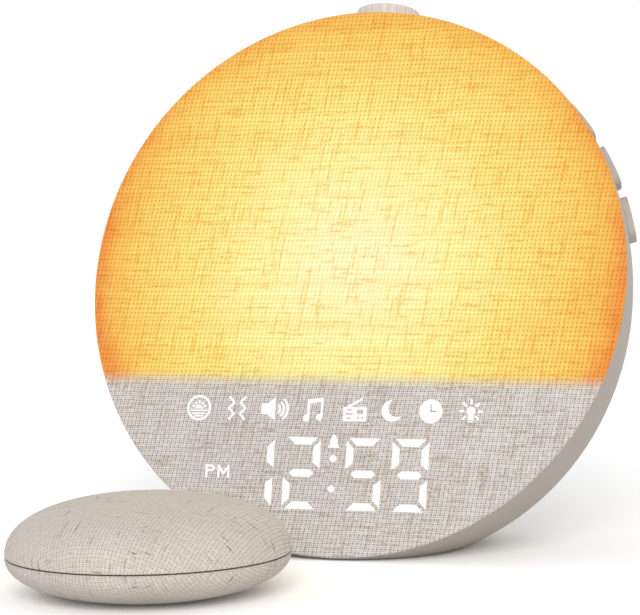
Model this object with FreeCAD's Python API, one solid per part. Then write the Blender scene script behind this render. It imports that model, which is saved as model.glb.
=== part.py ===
import FreeCAD, Part
import math
import os

# A round bedside sunrise clock and its separate round vibrating pad.
# All sizes are millimetres. The clock is built lying on its own face axes: x to the
# right, y back from the face, z up the face, with the origin at the face's centre.
# It is then leaned back and stood on z = 0.

Vector = FreeCAD.Vector
X_AXIS = Vector(1, 0, 0)
Y_AXIS = Vector(0, 1, 0)
Z_AXIS = Vector(0, 0, 1)
ORIGIN = Vector(0, 0, 0)

# Driving sizes of the body
face_radius = 95.0
body_depth = 70.0
lean_angle = 15.4
dome_radius = 102.0
axis_drop = 0.123
split_depth = 50.0
rear_rounding = 14.0
wall = 2.4
edge_height = 1.0
base_centre = 10.0

# Feet
foot_stand = 0.5
foot_recess = 0.4
foot_inset = 3.0
foot_split_gap = 1.5

# Cloth front and diffuser
lip_width = 0.7
cloth_gap = 0.3
seat_depth = 2.2
cloth_thickness = 0.6
crown_height = 1.8
shoulder_height = 0.9
shoulder_round = 1.5
layer_gap = 0.1
diffuser_thickness = 1.8
diffuser_rim = 6.5

# Light box
tray_outer = 89.0
tray_wall = 1.5
tray_floor = 1.2
tray_back = 11.0
glow_limit = -34.5
led_board_radius = 64.0
led_board_thickness = 1.4
led_board_margin = 5.0
led_length = 3.5
led_width = 2.8
led_height = 0.8
led_ring_step = 15.0
led_rings = 4
led_pitch = 14.0

# Display
display_top = -38.0
display_radius = 85.0
display_half_width = 57.5
display_front = 2.4
display_block_back = 8.0
display_board_thickness = 1.4
pipe_led_height = 0.8
light_proud = 0.15
icon_well_radius = 4.8
bell_well_radius = 2.6
letters_well_half = 5.0
digit_centres = (-29.6, -13.1, 8.8, 25.0)
digit_middle = -66.9
digit_half_width = 5.1
digit_half_height = 10.95
segment_half_width = 1.27
corner_gap = 1.0
middle_gap = 1.7
middle_bevel = 1.9
colon_x = -2.1
colon_half_pitch = 5.1
colon_radius = 1.2
icon_row = -45.2
icon_stroke = 0.75
bell_height = -56.1
letters_x = -43.4
letter_height = 4.4

# Middle frame and boards
frame_radius = 84.5
frame_thickness = 2.0
boss_radius = 70.0
boss_angles = (62.0, 118.0, 200.0, 340.0)
boss_size = 4.2
boss_web = 3.0
screw_radius = 1.45
screw_head_radius = 2.9
screw_head_height = 1.8
screw_fit = 0.05
screw_depth = 11.0
head_clearance = 0.5
main_board_half_width = 42.0
main_board_bottom = -48.0
main_board_top = 2.0
main_board_lift = 7.0
main_board_thickness = 1.6
board_post_radius = 2.6
board_post_inset = 5.0
board_screw_radius = 1.0
board_screw_head = 2.0
lead_radius = 0.5
# Each chip: place across, place up, width, height, rise
chip_sizes = (
    (-14.0, -18.0, 14.0, 14.0, 1.4),
    (10.0, -32.0, 8.0, 6.0, 1.2),
    (20.0, -14.0, 18.0, 12.0, 2.0),
    (-24.0, -34.0, 6.0, 8.0, 1.5))
capacitor_radius = 3.2
capacitor_height = 8.0
capacitor_row = -9.5
capacitor_places = (-34.0, -26.5, -2.0)
cell_x = 28.0
cell_z = -32.0
cell_radius = 6.25
cell_thickness = 2.0
holder_depth = 2.6
holder_floor = 0.8
holder_gap = 0.15
holder_wall = 2.0
lead_spread = 3.0
light_lead_spread = 15.0
light_lead_rise = 15.0
lead_hole_gap = 0.3
ribbon_width = 16.0
ribbon_thickness = 0.3

# Side buttons
control_depth = 19.0
button_angles = (40.2, 28.5, 16.7)
button_length = 15.0
button_width = 10.0
button_corner = 3.0
button_proud = 2.5
button_gap = 0.3
flange_extra = 1.3
flange_end_extra = 0.5
flange_outer = 88.5
flange_thickness = 1.2
stem_radius = 1.6
bracket_inner = 76.4
bracket_thickness = 2.4
bracket_margin = 7.0
flex_thickness = 0.8
switch_size = 6.0
switch_height = 3.5
switch_bore_depth = 1.5
plunger_radius = 1.7
plunger_height = 0.8
running_gap = 0.08

# Knob and encoder
knob_depth = 20.0
knob_radius = 11.0
knob_top = 101.5
knob_flutes = 20
flute_radius = 0.55
knob_press = 0.5
knob_gap = 0.8
knob_seat = 92.2
knob_edge = 0.6
collar_margin = 1.2
shaft_radius = 3.0
shaft_bottom = 80.5
shaft_top = 98.0
bushing_radius = 3.6
bushing_top = 91.6
encoder_half = 6.5
encoder_bottom = 77.5
encoder_top = 84.5
encoder_board_thickness = 1.2
encoder_shelf = 2.0
encoder_board_half_width = 9.0
encoder_board_back = 28.0

# Speaker, in the back cover
speaker_height = 6.0
speaker_radius = 24.0
speaker_opening = 18.5
gasket_thickness = 1.0
speaker_flange = 1.2
basket_depth = 10.4
basket_back_radius = 12.0
basket_wall = 1.2
cone_wall = 0.6
magnet_radius = 13.0
magnet_depth = 9.0
ring_wall = 1.5
ring_height = 4.0
grille_slots = 9
grille_pitch = 3.6
grille_slot_width = 1.6
grille_radius = 17.0

# Power inlet
inlet_height = -42.0
inlet_width = 9.0
inlet_thickness = 3.2
inlet_length = 7.4
inlet_wall = 0.3
inlet_gap = 0.2
tongue_width = 6.7
tongue_thickness = 0.7
inlet_board_half_width = 9.0
inlet_board_depth = 14.0
inlet_board_thickness = 1.2

# Cover joint
spigot_length = 3.0
spigot_thickness = 1.4
spigot_gap = 0.2
column_radius = 5.2
column_floor = 4.5

# Vibrating pad
pad_x = -35.9
pad_front_offset = -98.7
pad_radius = 44.7
pad_seam = 13.0
pad_top_rise = 18.3
pad_bottom_fall = 14.0
pad_top_power = 2.3
pad_bottom_power = 2.2
pad_cloth = 0.8
pad_wall = 2.0
pad_seam_height = 0.8
pad_seam_inset = 0.8
pad_seam_width = 5.0
pad_board_half_x = 20.0
pad_board_half_y = 13.0
pad_board_height = 9.0
pad_board_thickness = 1.2
pad_post_radius = 2.2
pad_battery_x = 34.0
pad_battery_gap = 0.5
pad_battery_y = 2 * (pad_board_half_y - 2 * pad_post_radius - pad_battery_gap)
pad_battery_height = 4.6
pad_foam_height = 0.5
pad_motor_radius = 5.5
pad_motor_length = 20.0
pad_motor_front = 14.0
pad_motor_height = 17.5
pad_cradle_half = 7.0
pad_shaft_radius = 0.75
pad_shaft_length = 9.0
pad_weight_radius = 5.0
pad_weight_length = 6.0
pad_weight_gap = 1.5
pad_screw_ring = 31.0
pad_screw_angles = (30.0, 150.0, 270.0)
pad_boss_radius = 3.4
pad_screw_floor = 5.6
pad_screw_bite = 2.0
pad_port_height = 8.6
pad_port_mouth = 39.5
pad_port_board_y = 24.0
pad_port_board_length = 10.0
pad_port_board_half = 8.0
pad_port_board_gap = 0.4

# Worked out from the driving sizes
reach = 3.0 * face_radius
lean = math.radians(lean_angle)
face_height = edge_height + face_radius * math.cos(lean)
bore_radius = face_radius - lip_width
cloth_radius = bore_radius - cloth_gap
cover_inner = body_depth - wall
frame_back = tray_back + frame_thickness
board_front = frame_back + main_board_lift
board_back = board_front + main_board_thickness
axis_shift = axis_drop * control_depth
flex_outer = bracket_inner + bracket_thickness + flex_thickness
switch_top = flex_outer + switch_height
pad_y = pad_front_offset - base_centre


# Small helpers

def block(x0, x1, y0, y1, z0, z1):
    return Part.makeBox(x1 - x0, y1 - y0, z1 - z0, Vector(x0, y0, z0))


def deep_disc(radius, y0, y1, x=0.0, z=0.0):
    return Part.makeCylinder(radius, y1 - y0, Vector(x, y0, z), Y_AXIS)


def deep_ring(outer, inner, y0, y1, x=0.0, z=0.0):
    return deep_disc(outer, y0, y1, x, z).cut(deep_disc(inner, y0, y1, x, z))


def upright(radius, z0, z1, x=0.0, y=0.0):
    return Part.makeCylinder(radius, z1 - z0, Vector(x, y, z0), Z_AXIS)


def fuse_all(shapes):
    return shapes[0].multiFuse(shapes[1:]).removeSplitter() if len(shapes) > 1 else shapes[0]


def rounded_block(length, width, corner, y_centre, z0, z1):
    solid = block(-length / 2, length / 2, y_centre - width / 2, y_centre + width / 2, z0, z1)
    upright_edges = [edge for edge in solid.Edges if abs(edge.tangentAt(edge.FirstParameter).z) > 0.9]
    return solid.makeFillet(corner, upright_edges)


def around(shape, angle):
    """Turn a piece built at the top of the body round to its angle on the rim."""
    turned = shape.copy()
    turned.rotate(ORIGIN, Y_AXIS, 90.0 - angle)
    turned.translate(Vector(0, 0, -axis_shift))
    return turned


def stand(shape):
    """Lean a piece back with the face and stand it on the ground."""
    placed = shape.copy()
    placed.rotate(ORIGIN, X_AXIS, -lean_angle)
    placed.translate(Vector(0, -base_centre, face_height))
    return placed


def below(height):
    return block(-reach, reach, -reach, reach, height - reach, height)


def save(name, shape):
    shape.exportStep("parts/" + name + ".step")


def solids_of(shapes):
    found = []
    for shape in shapes:
        if not shape.Solids:
            raise ValueError("a mark was lost")
        found.extend(shape.Solids)
    return Part.makeCompound(found)


# The body's outer form: circles parallel to the face that shrink and sink towards the back

def section_radius(depth, inset):
    radius = face_radius - inset - depth ** 2 / (2 * dome_radius)
    last = body_depth - min(inset, wall)
    if depth > split_depth:
        share = min((depth - split_depth) / (last - split_depth), 1.0)
        radius -= rear_rounding * (1 - math.sqrt(1 - share ** 2))
    return radius


def body_form(inset, first, last, sections=6):
    rings = []
    for index in range(sections):
        share = index / (sections - 1)
        if last > split_depth + 5.0:
            share = math.sin(share * math.pi / 2)
        depth = first + (last - first) * share
        centre = Vector(0, depth, -axis_drop * depth)
        circle = Part.makeCircle(section_radius(depth, inset), centre, Y_AXIS)
        rings.append(Part.Wire([circle]))
    return Part.makeLoft(rings, True, False)


def boss_bodies(radius, y0, y1):
    return [around(deep_disc(radius, y0, y1, 0.0, boss_radius), angle) for angle in boss_angles]


def screws_along_depth(head_front, head_back, shank_front, shank_back):
    screws = []
    for angle in boss_angles:
        head = deep_disc(screw_head_radius, head_front, head_back, 0.0, boss_radius)
        shank = deep_disc(screw_radius, shank_front, shank_back, 0.0, boss_radius)
        screws.append(around(head.fuse(shank).removeSplitter(), angle))
    return screws


def button_prism(extra, z0, z1):
    return rounded_block(button_length + 2 * extra, button_width + 2 * extra,
                         button_corner + extra, control_depth, z0, z1)


def foot_form():
    form = stand(body_form(foot_inset, 0.0, split_depth))
    rear = stand(body_form(foot_inset, split_depth, body_depth - wall))
    slab = block(-reach, reach, -reach, reach, 0.0, foot_stand + foot_recess)
    front_side = stand(block(-reach, reach, 0.0, split_depth - foot_split_gap, -reach, reach))
    rear_side = stand(block(-reach, reach, split_depth + foot_split_gap, body_depth, -reach, reach))
    front_foot = form.common(slab).common(front_side)
    rear_foot = rear.common(slab).common(rear_side)
    return front_foot, rear_foot


def front_housing(front_foot):
    outer = body_form(0.0, 0.0, split_depth)
    ribs = []
    for angle in boss_angles:
        boss = deep_disc(boss_size, frame_back, split_depth, 0.0, boss_radius)
        web = block(-boss_web / 2, boss_web / 2, frame_back, split_depth, boss_radius, face_radius)
        ribs.append(around(boss.fuse(web), angle).common(outer))
    collar = upright(knob_radius + collar_margin, encoder_top, knob_seat, 0.0, knob_depth)
    cavity = body_form(wall, 0.0, split_depth)
    room = stand(cavity).cut(below(foot_stand + wall))
    shell = stand(outer).fuse(stand(collar)).cut(room)
    shell = shell.fuse([stand(rib) for rib in ribs]).removeSplitter()
    cutters = [stand(deep_disc(bore_radius, -seat_depth, seat_depth))]
    cutters.append(below(foot_stand))
    cutters.append(front_foot)
    cutters.append(stand(upright(knob_radius + collar_margin, knob_seat, knob_top, 0.0, knob_depth)))
    cutters.append(stand(upright(bushing_radius + spigot_gap, shaft_bottom, knob_top, 0.0, knob_depth)))
    for angle in button_angles:
        cutters.append(stand(around(button_prism(button_gap, flange_outer, knob_top), angle)))
    for hole in boss_bodies(screw_radius + screw_fit, split_depth - screw_depth, split_depth):
        cutters.append(stand(hole))
    for hole in boss_bodies(screw_radius + screw_fit, frame_back, frame_back + screw_depth):
        cutters.append(stand(hole))
    return shell.cut(cutters)


def back_cover(rear_foot):
    outer = body_form(0.0, split_depth, body_depth, 9)
    cavity = body_form(wall, split_depth, cover_inner, 9)
    room = stand(cavity).cut(below(foot_stand + wall))
    shell = stand(outer).cut(room)
    spigot_start = split_depth - spigot_length
    spigot_outer = section_radius(split_depth, wall) - spigot_gap
    spigot = deep_ring(spigot_outer, spigot_outer - spigot_thickness, spigot_start,
                       split_depth + spigot_length, 0.0, -axis_drop * split_depth)
    notch_half = boss_size + head_clearance
    for angle in boss_angles:
        notch = block(-notch_half, notch_half, spigot_start, split_depth, boss_radius - notch_half,
                      face_radius)
        spigot = spigot.cut(around(notch, angle))
    spigot = stand(spigot).cut(below(foot_stand + wall + spigot_gap))
    columns = [stand(column.common(outer))
               for column in boss_bodies(column_radius, split_depth, body_depth)]
    ring = deep_ring(speaker_radius + spigot_gap + ring_wall, speaker_radius + spigot_gap,
                     cover_inner - ring_height, cover_inner, 0.0, speaker_height)
    shelf_top = inlet_height - inlet_thickness / 2 - inlet_board_thickness
    shelf = block(-inlet_board_half_width, inlet_board_half_width, cover_inner - inlet_board_depth / 2,
                  cover_inner, shelf_top - wall, shelf_top)
    cover = shell.fuse([spigot, stand(ring), stand(shelf)] + columns).removeSplitter()
    cutters = [below(foot_stand), rear_foot]
    floor = split_depth + column_floor
    for hole in boss_bodies(screw_radius + screw_fit, split_depth, floor):
        cutters.append(stand(hole))
    for hole in boss_bodies(screw_head_radius + head_clearance, floor, body_depth):
        cutters.append(stand(hole))
    for slot in grille():
        cutters.append(stand(slot))
    inlet_opening = inlet_form(inlet_gap, cover_inner - inlet_gap, body_depth)
    cutters.append(stand(inlet_opening))
    return cover.cut(cutters)


def grille():
    slots = []
    for index in range(grille_slots):
        x = (index - (grille_slots - 1) / 2) * grille_pitch
        half = math.sqrt(grille_radius ** 2 - x ** 2) - grille_slot_width / 2
        slot = block(x - grille_slot_width / 2, x + grille_slot_width / 2, cover_inner, body_depth,
                     speaker_height - half, speaker_height + half)
        for end in (-half, half):
            slot = slot.fuse(deep_disc(grille_slot_width / 2, cover_inner, body_depth, x,
                                       speaker_height + end))
        slots.append(slot.removeSplitter())
    return slots


# Cloth front

def cap(inset, back=seat_depth):
    """Shallow dome with a rolled shoulder and a straight side, solid to its flat back."""
    side = cloth_radius - inset
    shoulder = cloth_radius - shoulder_round
    roll = shoulder_round - inset
    apex = -crown_height + inset
    level = -shoulder_height + inset
    top = Vector(0, apex, 0)
    bend = Vector(shoulder, level, 0)
    corner = Vector(side, level + roll, 0)
    crown = Part.Arc(top, Vector(shoulder / 2, apex + (level - apex) / 4, 0), bend).toShape()
    lean_in = roll * math.cos(math.pi / 4)
    roll_middle = Vector(shoulder + lean_in, level + roll - lean_in, 0)
    shoulder_arc = Part.Arc(bend, roll_middle, corner).toShape()
    edge = Vector(side, back, 0)
    centre = Vector(0, back, 0)
    lines = [Part.makeLine(corner, edge), Part.makeLine(edge, centre), Part.makeLine(centre, top)]
    profile = Part.Face(Part.Wire([crown, shoulder_arc] + lines))
    return profile.revolve(ORIGIN, Y_AXIS, 360.0)


# Display marks: what shows lies on the cloth, and plain light pipes stand behind it

mark_front = -2.0 * crown_height
mark_back = seat_depth
pipe_back = display_block_back - pipe_led_height


def push_back(points):
    corners = [Vector(x, mark_front, z) for x, z in points]
    face = Part.Face(Part.makePolygon(corners + corners[:1]))
    return face.extrude(Vector(0, mark_back - mark_front, 0))


def dot(x, z, radius):
    return deep_disc(radius, mark_front, mark_back, x, z)


def loop(x, z, radius, stroke=icon_stroke):
    return deep_ring(radius, radius - stroke, mark_front, mark_back, x, z)


def line_mark(points, width=icon_stroke):
    pieces = []
    for (x0, z0), (x1, z1) in zip(points, points[1:]):
        run = math.hypot(x1 - x0, z1 - z0)
        off_x = -(z1 - z0) / run * width / 2
        off_z = (x1 - x0) / run * width / 2
        pieces.append(push_back([(x0 + off_x, z0 + off_z), (x1 + off_x, z1 + off_z),
                                 (x1 - off_x, z1 - off_z), (x0 - off_x, z0 - off_z)]))
    for x, z in points[1:-1]:
        pieces.append(dot(x, z, width / 2))
    return fuse_all(pieces)


def segment_points(name, x, z):
    w = digit_half_width
    h = digit_half_height
    s = segment_half_width
    g = corner_gap
    if name in ("top", "bottom"):
        side = 1 if name == "top" else -1
        outer = [(-(w + s - g), h + s), (w + s - g, h + s), (w - s - g, h - s), (-(w - s - g), h - s)]
        points = [(a, side * b) for a, b in outer]
    elif name == "middle":
        tip = w - s + g / 2
        points = [(-tip, 0), (-tip + s, s), (tip - s, s), (tip, 0), (tip - s, -s), (-tip + s, -s)]
    else:
        upper = 1 if name.startswith("upper") else -1
        right = 1 if name.endswith("right") else -1
        outer = [(w + s, h + s - g), (w + s, middle_gap), (w - s, middle_gap + middle_bevel),
                 (w - s, h - s - g)]
        points = [(right * a, upper * b) for a, b in outer]
    return [(x + a, z + b) for a, b in points]


all_segments = ("top", "middle", "bottom", "upper_left", "upper_right", "lower_left", "lower_right")
lit_by_digit = (
    ("upper_right", "lower_right"),
    ("top", "upper_right", "middle", "lower_left", "bottom"),
    ("top", "upper_left", "middle", "lower_right", "bottom"),
    ("top", "upper_left", "upper_right", "middle", "lower_right", "bottom"))


def lit_marks():
    marks = []
    for x, on in zip(digit_centres, lit_by_digit):
        for name in on:
            marks.append(push_back(segment_points(name, x, digit_middle)))
    for side in (-1, 1):
        marks.append(dot(colon_x, digit_middle + side * colon_half_pitch, colon_radius))
    return marks


def arc_mark(x, z, radius, start, end, stroke=icon_stroke, steps=6):
    points = []
    for index in range(steps + 1):
        angle = math.radians(start + (end - start) * index / steps)
        points.append((x + radius * math.cos(angle), z + radius * math.sin(angle)))
    return line_mark(points, stroke)


def rays(x, z, inner, outer, angles):
    marks = []
    for angle in angles:
        a = math.radians(angle)
        marks.append(line_mark([(x + inner * math.cos(a), z + inner * math.sin(a)),
                                (x + outer * math.cos(a), z + outer * math.sin(a))]))
    return marks


def sunrise_mark(x, z):
    marks = [loop(x, z, 4.4)]
    sun = dot(x, z - 0.2, 1.3).cut(block(x - 3, x + 3, mark_front, mark_back, z - 3, z - 0.2))
    marks.append(sun)
    marks.extend(rays(x, z - 0.2, 1.8, 2.7, (20, 55, 90, 125, 160)))
    marks.append(line_mark([(x - 3.1, z - 0.9), (x + 3.1, z - 0.9)], 0.5))
    marks.append(line_mark([(x - 2.5, z - 1.9), (x + 2.5, z - 1.9)], 0.5))
    marks.append(line_mark([(x - 1.5, z - 2.8), (x + 1.5, z - 2.8)], 0.5))
    return marks


def vibration_mark(x, z):
    zigzag = [(0.9, 4.0), (-1.0, 2.0), (0.9, 0.1), (-1.0, -1.9), (0.9, -3.9)]
    left = [(x - 2.1 - a, z + b) for a, b in zigzag]
    right = [(x + 2.1 + a, z + b) for a, b in zigzag]
    return [line_mark(left), line_mark(right)]


def loudspeaker_mark(x, z):
    horn = [(-5.0, 1.8), (-3.0, 1.8), (0.0, 4.0), (0.0, -4.0), (-3.0, -1.8), (-5.0, -1.8)]
    marks = [push_back([(x + a, z + b) for a, b in horn])]
    marks.append(arc_mark(x, z, 1.7, -55, 55))
    marks.append(arc_mark(x, z, 3.1, -52, 52))
    marks.append(arc_mark(x, z, 4.5, -50, 50))
    return marks


def music_mark(x, z):
    outline = [(-2.3, -3.0), (-2.3, 3.4), (3.2, 4.1), (3.2, -2.6), (2.4, -2.6), (2.4, 2.6), (-1.5, 2.1),
               (-1.5, -3.0)]
    stems = push_back([(x + a, z + b) for a, b in outline])
    return [fuse_all([stems, dot(x - 2.6, z - 3.0, 1.15), dot(x + 2.1, z - 2.6, 1.15)])]


def radio_mark(x, z):
    case = push_back([(x - 4.1, z - 3.8), (x + 4.1, z - 3.8), (x + 4.1, z + 1.0), (x - 4.1, z + 1.0)])
    holes = []
    for dx, dz, width in ((-2.0, 0.1, 1.6), (-2.0, -1.3, 2.6), (-2.0, -2.7, 1.6)):
        holes.append(block(x + dx - width / 2, x + dx + width / 2, mark_front, mark_back,
                           z + dz - 0.3, z + dz + 0.3))
    holes.append(block(x + 0.8, x + 3.0, mark_front, mark_back, z - 1.4, z + 0.2))
    holes.append(deep_disc(0.45, mark_front, mark_back, x + 1.2, z - 2.6))
    holes.append(deep_disc(0.45, mark_front, mark_back, x + 2.6, z - 2.6))
    aerial = line_mark([(x - 2.6, z + 1.0), (x + 2.4, z + 3.8)])
    return [case.cut(holes).fuse(aerial).removeSplitter()]


def moon_mark(x, z):
    return [dot(x, z, 3.7).cut(deep_disc(3.2, mark_front, mark_back, x + 1.8, z + 1.0))]


def clock_mark(x, z):
    hands = [block(x - 0.3, x + 0.3, mark_front, mark_back, z - 0.3, z + 2.4),
             block(x - 0.3, x + 1.9, mark_front, mark_back, z - 0.3, z + 0.3)]
    return [dot(x, z, 4.0).cut(hands)]


def bulb_mark(x, z):
    base = line_mark([(x - 0.8, z - 3.2), (x + 0.8, z - 3.2)], 0.5)
    neck = push_back([(x - 0.9, z - 2.6), (x + 0.9, z - 2.6), (x + 1.1, z), (x - 1.1, z)])
    marks = [dot(x, z + 0.3, 1.5).fuse(neck).removeSplitter(), base]
    marks.extend(rays(x, z + 0.3, 2.3, 4.0, (0, 45, 90, 135, 180, 225, 315)))
    return marks


def bell_mark(x, z):
    outline = [(-2.2, -2.0), (-1.5, -1.2), (-1.3, 0.9), (-0.6, 1.9), (-0.35, 2.4), (0.35, 2.4),
               (0.6, 1.9), (1.3, 0.9), (1.5, -1.2), (2.2, -2.0)]
    return [push_back([(x + a, z + b) for a, b in outline])]


def letter_marks(x, z):
    half = letter_height / 2
    stroke = icon_stroke
    bowl = [(-4.4, -half), (-4.4, half), (-2.0, half), (-1.1, 1.6), (-1.1, 0.4), (-2.0, -0.2),
            (-3.6, -0.2), (-3.6, -half)]
    eye = [(-3.6, 1.5), (-2.2, 1.5), (-1.85, 1.25), (-1.85, 0.8), (-2.2, 0.5), (-3.6, 0.5)]
    stem = push_back([(x + a, z + b) for a, b in bowl]).cut(push_back([(x + a, z + b) for a, b in eye]))
    valley = line_mark([(x + 0.4, z - half), (x + 0.4, z + half - stroke / 2),
                        (x + 2.2, z - 0.8), (x + 4.0, z + half - stroke / 2), (x + 4.0, z - half)], stroke)
    return [stem, valley]


icon_places = ((sunrise_mark, -51.8), (vibration_mark, -37.8), (loudspeaker_mark, -23.9),
               (music_mark, -10.0), (radio_mark, 4.6), (moon_mark, 17.7), (clock_mark, 31.2),
               (bulb_mark, 45.0))


def icon_marks():
    marks = []
    for draw, x in icon_places:
        marks.extend(draw(x, icon_row))
    marks.extend(bell_mark(colon_x, bell_height))
    marks.extend(letter_marks(letters_x, digit_middle))
    return marks


def well_places():
    """Centres of the round wells, each with its radius."""
    places = [(x, icon_row, icon_well_radius) for draw, x in icon_places]
    places.append((colon_x, bell_height, bell_well_radius))
    for side in (-1, 1):
        places.append((colon_x, digit_middle + side * colon_half_pitch, colon_radius))
    return places


def light_pipes():
    pipes = [deep_disc(radius, display_front, pipe_back, x, z) for x, z, radius in well_places()]
    half = letter_height / 2 + icon_stroke
    pipes.append(block(letters_x - letters_well_half, letters_x + letters_well_half, display_front,
                       pipe_back, digit_middle - half, digit_middle + half))
    for x in digit_centres:
        for name in all_segments:
            outline = segment_points(name, x, digit_middle)
            corners = [Vector(a, display_front, b) for a, b in outline]
            face = Part.Face(Part.makePolygon(corners + corners[:1]))
            pipes.append(face.extrude(Vector(0, pipe_back - display_front, 0)))
    return pipes


def pipe_leds():
    places = [(x, z) for x, z, radius in well_places()]
    places.append((letters_x, digit_middle))
    for x in digit_centres:
        for name in all_segments:
            points = segment_points(name, x, digit_middle)
            places.append((sum(a for a, b in points) / len(points), sum(b for a, b in points) / len(points)))
    half = pipe_led_height
    return [block(x - half, x + half, pipe_back, display_block_back, z - half, z + half)
            for x, z in places]


def display_outline(y0, y1):
    return deep_disc(display_radius, y0, y1).common(
        block(-display_half_width, display_half_width, y0, y1, -reach, display_top))


def make_display():
    skin = cap(-light_proud, seat_depth).cut(cap(0.0))
    save_standing("icon_lights", solids_of([mark.common(skin) for mark in icon_marks()]))
    save_standing("lit_segments", solids_of([mark.common(skin) for mark in lit_marks()]))
    pipes = light_pipes()
    leds = pipe_leds()
    save_standing("light_pipes", Part.makeCompound(pipes))
    save_standing("display_leds", Part.makeCompound(leds))
    save_standing("display_block", display_outline(display_front, display_block_back).cut(pipes + leds))
    save_standing("display_board", display_outline(display_block_back,
                                                   display_block_back + display_board_thickness))
    save_standing("cloth_face", cap(0.0).cut(cap(cloth_thickness)))
    inner = cloth_thickness + layer_gap
    hollow = cap(inner + diffuser_thickness).common(
        deep_disc(cloth_radius - diffuser_rim, -crown_height, seat_depth))
    save_standing("light_diffuser", cap(inner).cut(hollow))


def save_standing(name, shape):
    save(name, stand(shape))


# Light box behind the diffuser

def make_light_box():
    floor_front = tray_back - tray_floor
    rim = deep_ring(tray_outer, tray_outer - tray_wall, seat_depth, tray_back)
    floor = deep_disc(tray_outer, floor_front, tray_back)
    upper = block(-reach, reach, -reach, reach, glow_limit - tray_wall, reach)
    baffle = block(-reach, reach, seat_depth, tray_back, glow_limit - tray_wall, glow_limit)
    baffle = baffle.common(deep_disc(tray_outer, seat_depth, tray_back))
    tray = rim.fuse(floor).common(upper).fuse(baffle).removeSplitter()
    holes = boss_bodies(screw_head_radius + head_clearance, floor_front, tray_back)
    holes.extend(lead_runs(lead_radius + lead_hole_gap, floor_front, tray_back))
    save_standing("reflector_tray", tray.cut(holes))
    board_start = floor_front - led_board_thickness
    board = deep_disc(led_board_radius, board_start, floor_front).common(
        block(-reach, reach, board_start, floor_front, glow_limit + led_board_margin, reach))
    save_standing("led_board", board)
    warm = []
    amber = []
    for ring in range(led_rings):
        radius = led_pitch * (ring + 1)
        step = led_ring_step * led_rings / (ring + 1)
        for index in range(int(360.0 / step)):
            angle = math.radians(index * step)
            x = radius * math.cos(angle)
            z = radius * math.sin(angle)
            if z < glow_limit + led_board_margin + led_length:
                continue
            led = block(x - led_width / 2, x + led_width / 2, board_start - led_height, board_start,
                        z - led_length / 2, z + led_length / 2)
            (amber if index % 3 == 2 else warm).append(led)
    save_standing("warm_leds", Part.makeCompound(warm))
    save_standing("amber_leds", Part.makeCompound(amber))


def lead_runs(radius, y0, y1):
    height = glow_limit + light_lead_rise
    return [deep_disc(radius, y0, y1, side * light_lead_spread, height) for side in (-1, 1)]


# Middle frame with the boards on it

def board_posts(radius, y0, y1):
    x = main_board_half_width - board_post_inset
    heights = (main_board_bottom + board_post_inset, main_board_top - board_post_inset)
    return [deep_disc(radius, y0, y1, side * x, z) for side in (-1, 1) for z in heights]


def ribbon_run(extra, y0, y1):
    return block(-ribbon_width / 2 - extra, ribbon_width / 2 + extra, y0, y1,
                 main_board_bottom - ribbon_thickness - extra, main_board_bottom + extra)


def make_frame():
    plate = deep_disc(frame_radius, tray_back, frame_back)
    spacer_front = display_block_back + display_board_thickness
    spacers = []
    for x in (-display_half_width / 2, display_half_width / 2):
        for z in (display_top - board_post_inset, digit_middle):
            spacers.append(deep_disc(board_post_radius, spacer_front, tray_back, x, z))
    shelf_top = encoder_bottom - encoder_board_thickness
    shelf = block(-encoder_board_half_width, encoder_board_half_width, frame_back, encoder_board_back,
                  shelf_top - encoder_shelf, shelf_top)
    frame = plate.fuse(spacers + board_posts(board_post_radius, frame_back, board_front) + [shelf])
    frame = frame.removeSplitter()
    cutters = boss_bodies(screw_radius + screw_fit, tray_back, frame_back)
    cutters.extend(board_posts(board_screw_radius + screw_fit, frame_back, board_front))
    cutters.extend(lead_runs(lead_radius + lead_hole_gap, tray_back, frame_back))
    cutters.append(ribbon_run(lead_hole_gap, tray_back, frame_back))
    save_standing("middle_frame", frame.cut(cutters))
    screws = screws_along_depth(tray_back - screw_head_height, tray_back, tray_back,
                                tray_back + screw_depth)
    save_standing("frame_screws", Part.makeCompound(screws))


def make_main_board():
    board = block(-main_board_half_width, main_board_half_width, board_front, board_back,
                  main_board_bottom, main_board_top)
    holes = board_posts(board_screw_radius + screw_fit, board_front, board_back)
    save_standing("main_board", board.cut(holes))
    screws = []
    shanks = board_posts(board_screw_radius, board_back - main_board_lift, board_back)
    heads = board_posts(board_screw_head, board_back, board_back + board_screw_radius)
    for shank, head in zip(shanks, heads):
        screws.append(shank.fuse(head).removeSplitter())
    save_standing("board_screws", Part.makeCompound(screws))
    chips = []
    for x, z, width, height, rise in chip_sizes:
        chips.append(block(x - width / 2, x + width / 2, board_back, board_back + rise,
                           z - height / 2, z + height / 2))
    save_standing("board_chips", Part.makeCompound(chips))
    cans = [deep_disc(capacitor_radius, board_back, board_back + capacitor_height, x, capacitor_row)
            for x in capacitor_places]
    save_standing("board_capacitors", Part.makeCompound(cans))
    cell_front = board_back + holder_floor
    holder_back = board_back + holder_depth
    holder = deep_disc(cell_radius + holder_gap + holder_wall, board_back, holder_back, cell_x, cell_z)
    holder = holder.cut(deep_disc(cell_radius + holder_gap, cell_front, holder_back, cell_x, cell_z))
    save_standing("coin_cell_holder", holder)
    cell = deep_disc(cell_radius, cell_front, cell_front + cell_thickness, cell_x, cell_z)
    save_standing("coin_cell", cell)
    save_standing("display_ribbon", ribbon_run(0.0, display_block_back + display_board_thickness,
                                               board_back))


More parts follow.
